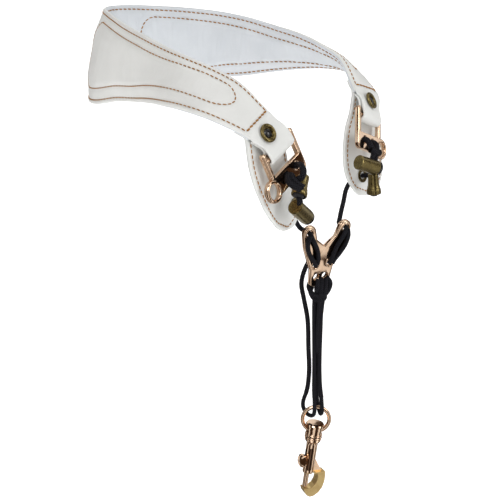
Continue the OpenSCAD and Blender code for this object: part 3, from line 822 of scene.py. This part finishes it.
def rounded_slab(name, loops_xy, t, bev, origin, X, Y, Z, mat, extra=()):
    """An outline with holes, extruded to thickness t with rounded edges, in a local frame."""
    cu = bpy.data.curves.new(name + "_c", "CURVE")
    cu.dimensions = "2D"
    cu.fill_mode = "BOTH"
    cu.extrude = t / 2 - bev
    cu.bevel_depth = bev
    cu.bevel_resolution = 3
    cu.offset = -bev
    big = max(range(len(loops_xy)), key=lambda i: abs(area(loops_xy[i])))
    for i, lp_ in enumerate(loops_xy):
        pts = list(lp_)
        sgn = area(pts)
        if (i == big) != (sgn > 0):
            pts = pts[::-1]
        sp = cu.splines.new("POLY")
        sp.points.add(len(pts) - 1)
        for k, (x, z) in enumerate(pts):
            sp.points[k].co = (x, z, 0, 1)
        sp.use_cyclic_u = True
    tmp = bpy.data.objects.new(name + "_c", cu)
    scene.collection.objects.link(tmp)
    bpy.context.view_layer.update()
    dg = bpy.context.evaluated_depsgraph_get()
    me = bpy.data.meshes.new_from_object(tmp.evaluated_get(dg))
    V = [tuple(v.co) for v in me.vertices]
    Fc = [tuple(p.vertices) for p in me.polygons]
    bpy.data.objects.remove(tmp)
    bpy.data.meshes.remove(me)
    W = [origin + X * x + Z * y + Y * z for x, y, z in V]
    for (ev, ef) in extra:
        o = len(W)
        W += [origin + X * a + Y * b + Z * c for a, b, c in ev]
        Fc += [tuple(i + o for i in f) for f in ef]
    ob = make(name, W, Fc, [mat])
    bm = bmesh.new()
    bm.from_mesh(ob.data)
    bmesh.ops.remove_doubles(bm, verts=bm.verts, dist=2e-6)
    bmesh.ops.recalc_face_normals(bm, faces=bm.faces)
    bm.to_mesh(ob.data)
    bm.free()
    ob.data.polygons.foreach_set("use_smooth", [True] * len(ob.data.polygons))
    ob.data.set_sharp_from_angle(angle=math.radians(38))
    return ob


def capsule(a, b, r, n=20, flat=1.0):
    """A round bar with domed ends, in local coordinates (x, y, z)."""
    a, b = np.array(a, float), np.array(b, float)
    t = unit(b - a)
    u = unit(np.cross(t, vec(0, 1, 0))) if abs(t[1]) < 0.9 else unit(np.cross(t, vec(1, 0, 0)))
    w = np.cross(t, u)
    V, Fc = [], []
    rings = [(a - t * r * math.sin(x), r * math.cos(x)) for x in np.linspace(math.pi / 2 * 0.98, 0, 7)] \
        + [(b + t * r * math.sin(x), r * math.cos(x)) for x in np.linspace(0, math.pi / 2 * 0.98, 7)]
    for c, rr in rings:
        for k in range(n):
            th = 2 * math.pi * k / n
            V.append(c + u * rr * math.cos(th) + w * rr * math.sin(th) * flat)
    for i in range(len(rings) - 1):
        for k in range(n):
            q = (k + 1) % n
            Fc.append((i * n + k, i * n + q, (i + 1) * n + q, (i + 1) * n + k))
    Fc.append(tuple(range(n))[::-1])
    Fc.append(tuple((len(rings) - 1) * n + k for k in range(n)))
    return V, Fc


def torus(c, R, rr, ry, n=40, m=16):
    """A ring round the local y axis; rr is its radial half thickness and ry its axial one."""
    V, Fc = [], []
    for i in range(n):
        a = 2 * math.pi * i / n
        for j in range(m):
            b = 2 * math.pi * j / m
            r = R + rr * math.cos(b)
            V.append(vec(c[0] + r * math.cos(a), c[1] + ry * math.sin(b), c[2] + r * math.sin(a)))
    for i in range(n):
        for j in range(m):
            p, q = (i + 1) % n, (j + 1) % m
            Fc.append((i * m + j, p * m + j, p * m + q, i * m + q))
    return V, Fc


WIN_W, WIN_H, PLATE_T, SB = 21.4, 7.7, 2.6, 3.0
WIN_Z = BAR_Z - BAR_R - WIN_H
PLATE_W = WIN_W + 2 * SB
for side, sg in (("right", 1), ("left", -1)):
    o = BAR if sg > 0 else BAR * MIR
    X, Y, Z = (BX, BY, BZ) if sg > 0 else (BX * MIR, BY * MIR, BZ * MIR)
    found = plane_loops(NODES["side_plate_" + side], o, X, Y, Z, -PLATE_T / 2)
    xs = PLATE_W / 2 - SB / 2
    extra = [capsule((-WIN_W / 2 - 0.8, 0, BAR_Z), (WIN_W / 2 + 0.8, 0, BAR_Z), BAR_R)]
    for m_ in (-1, 1):
        extra.append(capsule((m_ * xs, 0, 0.02), (m_ * xs, 0, WIN_Z + 0.4), 1.5))
    extra.append(torus((-15, 0, WIN_Z - 5.4), 4.78, 1.0, 1.62))
    plate = rounded_slab("buckle_plate_" + side, found, PLATE_T, 0.55, o, X, Y, Z, M_ROSE, extra)
    finish_piece(plate, "buckle_" + side, ["side_plate_" + side])

# adjuster frame
ra = [math.radians(a) for a in (9, 2, 70)]
RX = np.array([[1, 0, 0], [0, math.cos(ra[0]), -math.sin(ra[0])], [0, math.sin(ra[0]), math.cos(ra[0])]])
RY = np.array([[math.cos(ra[1]), 0, math.sin(ra[1])], [0, 1, 0], [-math.sin(ra[1]), 0, math.cos(ra[1])]])
RZ_ = np.array([[math.cos(ra[2]), -math.sin(ra[2]), 0], [math.sin(ra[2]), math.cos(ra[2]), 0], [0, 0, 1]])
RADJ = RZ_ @ RY @ RX
ADJ = vec(139.2, 0, -93.8)
AX, AY, AZ = RADJ[:, 0], RADJ[:, 1], RADJ[:, 2]


def adj(P):
    P = np.asarray(P, float)
    return ADJ + P @ RADJ.T


found = plane_loops(NODES["adjuster_plate"], ADJ, AX, AY, AZ, -1.3)
eyelets = []
for m_ in (-1, 1):
    eyelets += [torus((m_ * 12.2, -1.1, 14.1), 2.45, 0.6, 0.55, 28, 10), torus((m_ * 4.8, -1.1, -5.1), 2.4, 0.55, 0.5, 28, 10)]
ADJ_OB = rounded_slab("adjuster_casting", found, 2.6, 0.7, ADJ, AX, AY, AZ, M_ROSE, eyelets)
finish_piece(ADJ_OB, "adjuster", ["adjuster_plate"])

# ------------------------------------------------------------------ cords
D = 2.5
HZ = WIN_Z - 3.9


def hang(P):
    P = np.asarray(P, float)
    c, s = math.cos(math.radians(34)), math.sin(math.radians(34))
    return np.stack([137 + P[:, 0] * c - P[:, 1] * s, P[:, 0] * s + P[:, 1] * c, P[:, 2]], 1)


PC_R = [[[-3,2.4,HZ],[-3,-1.6,HZ],[-8.0,-5.2,-16.2],[-9.1,-8.0,-18.3],[-8.1,-10.4,-21.2]],
        [[6.3,2.4,HZ],[6.3,-1.6,HZ],[4.5,-5.2,-15.0],[1.5,-8.4,-16.1],[-1.8,-9.2,-17.5],[-2.9,-7.0,-18.5],[-2.8,-4.4,-19.1]]]
PC_R.append([[-2.4,0.9,HZ-0.9],[-1.4,-2.3,HZ-0.9],[-5.3,-6.1,-17.2],[-6.3,-8.8,-19.6],[-5.4,-9.9,-21.6]])
PC_L = [[[-3,2.6,HZ],[-3,-1.8,HZ-0.2],[-2.6,-3.8,HZ-2.2],[-1,-4.6,HZ-4.6],[1.2,-5.4,HZ-6.8]],
        [[6.3,2.6,HZ],[6.3,-1.8,HZ-0.2],[6.4,-3.8,HZ-2.2],[5.6,-4.6,HZ-4.6],[4.4,-5.4,HZ-6.8]]]
PC_L.append([[-4.6,-4.4,HZ-5.2],[-1.6,-5.5,HZ-6.6],[3.2,-5.8,HZ-7.0],[7.2,-4.8,HZ-6.0]])
for side, sg, R in (("right", 1, PC_R), ("left", -1, PC_L)):
    ob = tubes("plate_cord_braid_" + side, [bk(through(P, 8), sg) for P in R], 3.2)
    finish_piece(ob, "buckle_" + side, ["plate_cord_" + side])

# short runs of cord that carry the toggles and bells
LINK = {"left": [[list(bk([PC_L[0][-2]], -1)[0]), list(bk([PC_L[0][-1]], -1)[0]), [150.0, 35.4, -48.2], [149.9, 34.4, -51.4]],
                 [list(bk([PC_L[1][-2]], -1)[0]), list(bk([PC_L[1][-1]], -1)[0]), [149.4, 32.6, -47.4], [149.2, 31.9, -50.4]]],
        "right": [[[149.5, -41.8, -51.0], [150.6, -42.6, -53.8], [149.4, -41.4, -57.2]],
                  [[148.6, -40.8, -51.4], [149.2, -39.6, -54.6], [148.9, -39.6, -58.2]]]}
for side in ("right", "left"):
    ob = tubes("toggle_link_" + side, [through(P, 8) for P in LINK[side]], 2.6)
    finish_piece(ob, "buckle_" + side)

for side, m_ in (("right", -1), ("left", 1)):
    W = [[[m_*12.2,2.4,14.1],[m_*12.1,-1.5,14],[m_*10.2,-2.7,10.4],[m_*6.6,-2.8,4.6],[m_*4.8,-2.7,-1],[m_*4.7,-1.5,-4.6],[m_*4.8,2.4,-5]],
         [[m_*12.8,-2.45,13.4],[m_*13.6,-2.7,9.5],[m_*12.4,-2.7,4.6],[m_*9.4,-2.7,0.2],[m_*6.9,-2.6,-2.8],[m_*5.6,-2.45,-5.2]]]
    ob = tubes("wing_cord_braid_" + side, [adj(through(P, 6)) for P in W], 2.35)
    finish_piece(ob, "adjuster", ["wing_cord_" + side])

S1 = [[-4.6,5.6,-99.5],[-6.6,6,-103.5],[-8.4,5.4,-109],[-8.8,4.4,-114],[-7.4,2.6,-121],[-5.4,0.6,-132],[-4.8,0,-147],[-4.2,0.4,-160],[-4.6,1.6,-170],[-5.6,2.8,-176.1]]
S2 = [[-0.5,-3.8,-106.7],[-0.5,-4.7,-109.5],[-0.8,-4,-113],[-2,-1.8,-119.5],[-1.9,-0.6,-132],[-1.6,-0.8,-147],[-1.4,-1.2,-160],[-1.4,-2,-170],[-1.2,-2.6,-176.1]]
S3_ = [[4.2,-0.4,-106.9],[6.2,-0.6,-110],[5.2,-1.4,-114],[1,-1.8,-120.5],[0.9,-0.8,-132],[1.2,-1,-147],[1.3,-1.4,-160],[1.8,-2.2,-170],[2.6,-2.6,-176.1]]
S4 = [[1.4,4.2,-101.3],[1,5.2,-106.7],[-0.8,5,-113],[-0.4,2.6,-121],[-0.4,2,-132],[0,2,-147],[0,2,-160],[-0.1,2.4,-170],[0.2,2.8,-176.1]]
HITCH = [[-4.4,1.8,-110.6],[-5.2,-0.6,-112.4],[-3.9,-3.4,-114.6],[-1.2,-4.7,-116.2],[1.8,-4.2,-116],[4,-2.6,-114.6],[4.9,-0.2,-113.2],[3.6,2.4,-112.4]]
HITCH2 = [[-3.4,2.4,-113.6],[-4.2,-0.4,-115.4],[-2.8,-3.2,-117.6],[-0.4,-4.3,-118.8],[2,-3.6,-118.8],[3.4,-1.6,-118],[3.2,1.4,-117]]
TAIL2 = [[3.9,-0.8,-107.4],[3.8,-2.6,-109.6],[3.3,-3.7,-113],[2.3,-3.6,-118],[1.5,-2.7,-127],[1.3,-2.0,-138],[1.2,-1.2,-150]]
TAIL = [[1.3,-1.6,-107.2],[1.5,-3.4,-109.2],[1.3,-4.2,-112],[0.7,-3.9,-118],[0.3,-2.8,-127],[0.2,-2.0,-138],[0.1,-1.2,-150]]
ob = tubes("hanging_cord_braid", [hang(through(P, 8)) for P in (S1, S2, S3_, S4, HITCH, HITCH2, TAIL, TAIL2)], D)
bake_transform(ob)
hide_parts("hanging_cords")
B1 = [[-5.6,2.8,-176.1],[-6.9,3.9,-181],[-6.9,4.1,-185],[-5.2,2.4,-187.8],[-3.2,0,-188.2],[-1.5,-2.4,-186.6],[-1,-3.1,-183],[-1.2,-2.6,-176.1]]
B2 = [[2.6,-2.6,-176.1],[3,-3.1,-182],[3,-2.6,-185],[2.4,-0.2,-187],[1.6,2.8,-185.4],[0.9,3.8,-181.6],[0.2,2.8,-176.1]]
ob = tubes("bight_braid", [hang(through(P, 8)) for P in (B1, B2)], D - 0.22)
finish_piece(ob, "bights", ["cord_bights"])

SC = {"right": [[143.4,-27.7,-60.1],[140.6,-27.8,-60.6],[137.2,-28,-61],[134.4,-27.4,-61.6],[132.6,-24.8,-63.8],[132.2,-21.2,-67.2],[132,-17.4,-71.4],[132,-14,-75.2],[132.2,-11.8,-77.6],[133.3,-10.6,-78.8],[134.4,-10.7,-79]],
      "left": [[144.2,40.8,-58.8],[141.6,41.8,-59.6],[138,42.2,-60.4],[134.8,41.6,-61.4],[133.6,37.6,-63.8],[134.8,31,-66.8],[137.6,24,-70.4],[139.8,17.6,-74.4],[141,14,-77.8],[141.4,12.5,-79.1],[142.5,12.2,-79.7]]}
for side, (s0, s1) in (("right", ((0.1335, -0.0262, -0.0627), (0.1325, -0.0125, -0.077))), ("left", ((0.134, 0.040, -0.0625), (0.1408, 0.0145, -0.0775)))):
    ob = tubes("side_cord_braid_" + side, [through(SC[side], 6)], D)
    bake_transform(ob)
    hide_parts("side_cord_" + side)


# ------------------------------------------------------------------ bells with a fluted mouth
def rot(deg):
    a, b, c = [math.radians(x) for x in deg]
    X = np.array([[1, 0, 0], [0, math.cos(a), -math.sin(a)], [0, math.sin(a), math.cos(a)]])
    Yr = np.array([[math.cos(b), 0, math.sin(b)], [0, 1, 0], [-math.sin(b), 0, math.cos(b)]])
    Zr = np.array([[math.cos(c), -math.sin(c), 0], [math.sin(c), math.cos(c), 0], [0, 0, 1]])
    return Zr @ Yr @ X


def bell(name, centre, deg):
    R = rot(deg)
    prof = [(3.1, 2.9, 0), (3.1, 0.4, 0.3), (3.35, 0.05, 0.6), (3.7, 0.0, 0.8), (3.95, 0.3, 1), (4.0, 0.9, 1), (3.95, 1.8, 1), (3.85, 2.5, 0.8), (3.6, 3.1, 0.35),
            (3.45, 3.5, 0.1), (3.55, 3.7, 0), (3.4, 3.95, 0), (3.2, 4.6, 0), (3.08, 5.4, 0), (2.95, 7.0, 0), (2.85, 9.0, 0), (2.8, 10.5, 0), (2.72, 10.95, 0), (2.5, 11.22, 0), (2.1, 11.3, 0), (1.5, 11.3, 0), (1.3, 11.1, 0), (1.3, 9.0, 0)]
    n = 72
    V, Fc = [], []
    for r, z, k in prof:
        for i in range(n):
            a = 2 * math.pi * i / n
            f = abs(math.sin(6 * a))
            q = r - k * 0.16 * (1 - f) ** 2
            V.append(centre + R @ vec(q * math.cos(a), q * math.sin(a), z))
    for j in range(len(prof) - 1):
        for i in range(n):
            p = (i + 1) % n
            Fc.append((j * n + i, j * n + p, (j + 1) * n + p, (j + 1) * n + i))
    ob = make(name, V, Fc, [M_BRASS])
    fix_normals(ob)
    return ob


for side, c_, d_ in (("right", vec(149.4, -41.5, -51.1), (-42, -12, 0)), ("left", vec(148.6, 37.6, -68.0), (2, -4, 0))):
    ob = bell("fluted_bell_" + side, c_, d_)
    finish_piece(ob, "buckle_" + side, ["cord_bell_" + side])

# rolled bands round the swivel, and a dark strip down the hook's barrel whose colour is painted shade and dark
# reflection
HX = vec(math.cos(math.radians(34)), math.sin(math.radians(34)), 0)
SY = vec(-math.sin(math.radians(34)), math.cos(math.radians(34)), 0)
UPV = vec(0, 0, 1)
SX = HX * math.cos(math.radians(7)) - UPV * math.sin(math.radians(7))
SZ = HX * math.sin(math.radians(7)) + UPV * math.cos(math.radians(7))
SNAP = vec(136.252, -0.504, -197.745)
c25, s25 = math.cos(math.radians(25)), math.sin(math.radians(25))
TX, TY = SX * c25 + SY * s25, SY * c25 - SX * s25


def bands(name, body, rings):
    V, Fc = [], []
    for z, R, r in rings:
        v, f = torus((0, z, 0), R, r * 0.8, r, 56, 14)
        o = len(V)
        V += [SNAP + SX * a[0] + SY * a[2] + SZ * a[1] for a in v]
        Fc += [tuple(i + o for i in g) for g in f]
    ob = make(name, V, Fc, [M_ROSE])
    fix_normals(ob)
    return finish_piece(ob, body)


bands("swivel_bands", "swivel", [(-1.8, 4.45, 0.5), (-0.92, 4.3, 0.38)])
bands("hook_bands", "hook", [(-3.25, 4.5, 0.45), (-4.25, 4.35, 0.42), (-5.2, 4.1, 0.4)])
az_ = math.radians(-112)
out = TX * math.cos(az_) + TY * math.sin(az_)
tan = np.cross(SZ, out)
v, f = capsule((0, 0, -10.2), (0, 0, -22.6), 1.5, 24)
stripe_pts = [SNAP + out * (2.35 + (a[1]) * 0.62) + tan * a[0] + SZ * a[2] for a in v]
ob = make("painted_barrel_stripe", stripe_pts, f, [M_PAINTED_STRIPE])
fix_normals(ob)
finish_piece(ob, "hook")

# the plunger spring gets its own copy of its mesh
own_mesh(NODES["plunger_spring"])

# the thumb-side bowl of the hook is worn to a duller gold
hb = NODES["hook_body"].data
hb.materials.append(M_BOWL)
T7 = math.radians(7)
AXIS = vec(math.sin(T7) * math.cos(math.radians(34)), math.sin(T7) * math.sin(math.radians(34)), math.cos(T7))
PIV = vec(136.252, -0.504, -197.745)
for poly in hb.polygons:
    c_ = np.array(poly.center) / MM
    if (c_ - PIV) @ AXIS < -25.1:
        poly.material_index = 1

# ------------------------------------------------------------------ stage
def stage_plane(name, verts, mat):
    me = bpy.data.meshes.new(name)
    me.from_pydata(verts, [], [(0, 1, 2, 3)])
    me.materials.append(mat)
    ob = bpy.data.objects.new(name, me)
    scene.collection.objects.link(ob)
    return ob


m, nt, p = tree("floor_mat")
p.inputs["Base Color"].default_value = (0.97, 0.97, 0.97, 1)
p.inputs["Roughness"].default_value = 0.9
p.inputs["Specular IOR Level"].default_value = 0.0
p.inputs["Emission Color"].default_value = (1, 1, 1, 1)
p.inputs["Emission Strength"].default_value = 0.55
M_FLOOR = m
# floor and a curved wall behind, as seen from the camera
yaw = math.atan2(look.y, look.x)
fw = Vector((math.cos(yaw), math.sin(yaw), 0))
rt = Vector((fw.y, -fw.x, 0))
c0 = Vector((0.093, 0.0, 0.0))
prof = [(-1.6, -0.30), (0.9, -0.30)] + [(0.9 + 0.5 * math.sin(a), -0.30 + 0.5 * (1 - math.cos(a))) for a in np.linspace(0.1, math.pi / 2, 14)] + [(1.4, 1.4)]
V, Fc = [], []
for d_, z_ in prof:
    for s_ in (-2.2, 2.2):
        q = c0 + fw * d_ + rt * s_
        V.append((q.x, q.y, z_))
for i in range(len(prof) - 1):
    Fc.append((2 * i, 2 * i + 1, 2 * i + 3, 2 * i + 2))
me = bpy.data.meshes.new("backdrop")
me.from_pydata(V, [], Fc)
me.polygons.foreach_set("use_smooth", [True] * len(me.polygons))
me.materials.append(M_FLOOR)
floor = bpy.data.objects.new("backdrop", me)
scene.collection.objects.link(floor)
floor.visible_glossy = False      # polished metal mirrors the studio, not the sweep

# world: even and pale, with a few dark upright bands for the polished metal to mirror
w = bpy.data.worlds.new("studio")
scene.world = w
w.use_nodes = True
nt = w.node_tree
bg = nt.nodes["Background"]
co = node(nt, "ShaderNodeTexCoord").outputs["Generated"]
sp = node(nt, "ShaderNodeSeparateXYZ")
nt.links.new(co, sp.inputs[0])
az = math_node(nt, "ARCTAN2", sp.outputs["Y"], sp.outputs["X"])
f = math_node(nt, "MULTIPLY_ADD", az, 1 / (2 * math.pi), 0.5)
white, dark = (1.0, 1.0, 1.0), (0.05, 0.028, 0.016)


def pos(deg):
    return deg / 360 + 0.5


stops = [(0.0, white)]
for lo, hi in ((-176, -140), (-122, -84), (-50, -9), (29, 55), (82, 112), (140, 168)):
    stops += [(pos(lo - 3), white), (pos(lo), dark), (pos(hi), dark), (pos(hi + 3), white)]
stops.append((1.0, white))
r = ramp(nt, f, stops)
nt.links.new(r.outputs["Color"], bg.inputs["Color"])
bg.inputs["Strength"].default_value = 0.95


def area_light(name, loc, target, size, power, colour=(1, 1, 1)):
    ld = bpy.data.lights.new(name, "AREA")
    ld.shape = "RECTANGLE"
    ld.size, ld.size_y = size
    ld.energy = power
    ld.color = colour
    ob = bpy.data.objects.new(name, ld)
    scene.collection.objects.link(ob)
    ob.location = loc
    ob.rotation_euler = (Vector(target) - Vector(loc)).to_track_quat("-Z", "Y").to_euler()
    return ob


area_light("key", (0.35, -0.95, 0.75), (0.09, 0, -0.06), (0.6, 0.6), 5.2)
area_light("fill", (1.05, 0.25, 0.35), (0.12, 0, -0.1), (0.35, 0.5), 2.2)
area_light("top", (0.05, 0.1, 1.1), (0.09, 0, -0.05), (0.8, 0.8), 2.2)
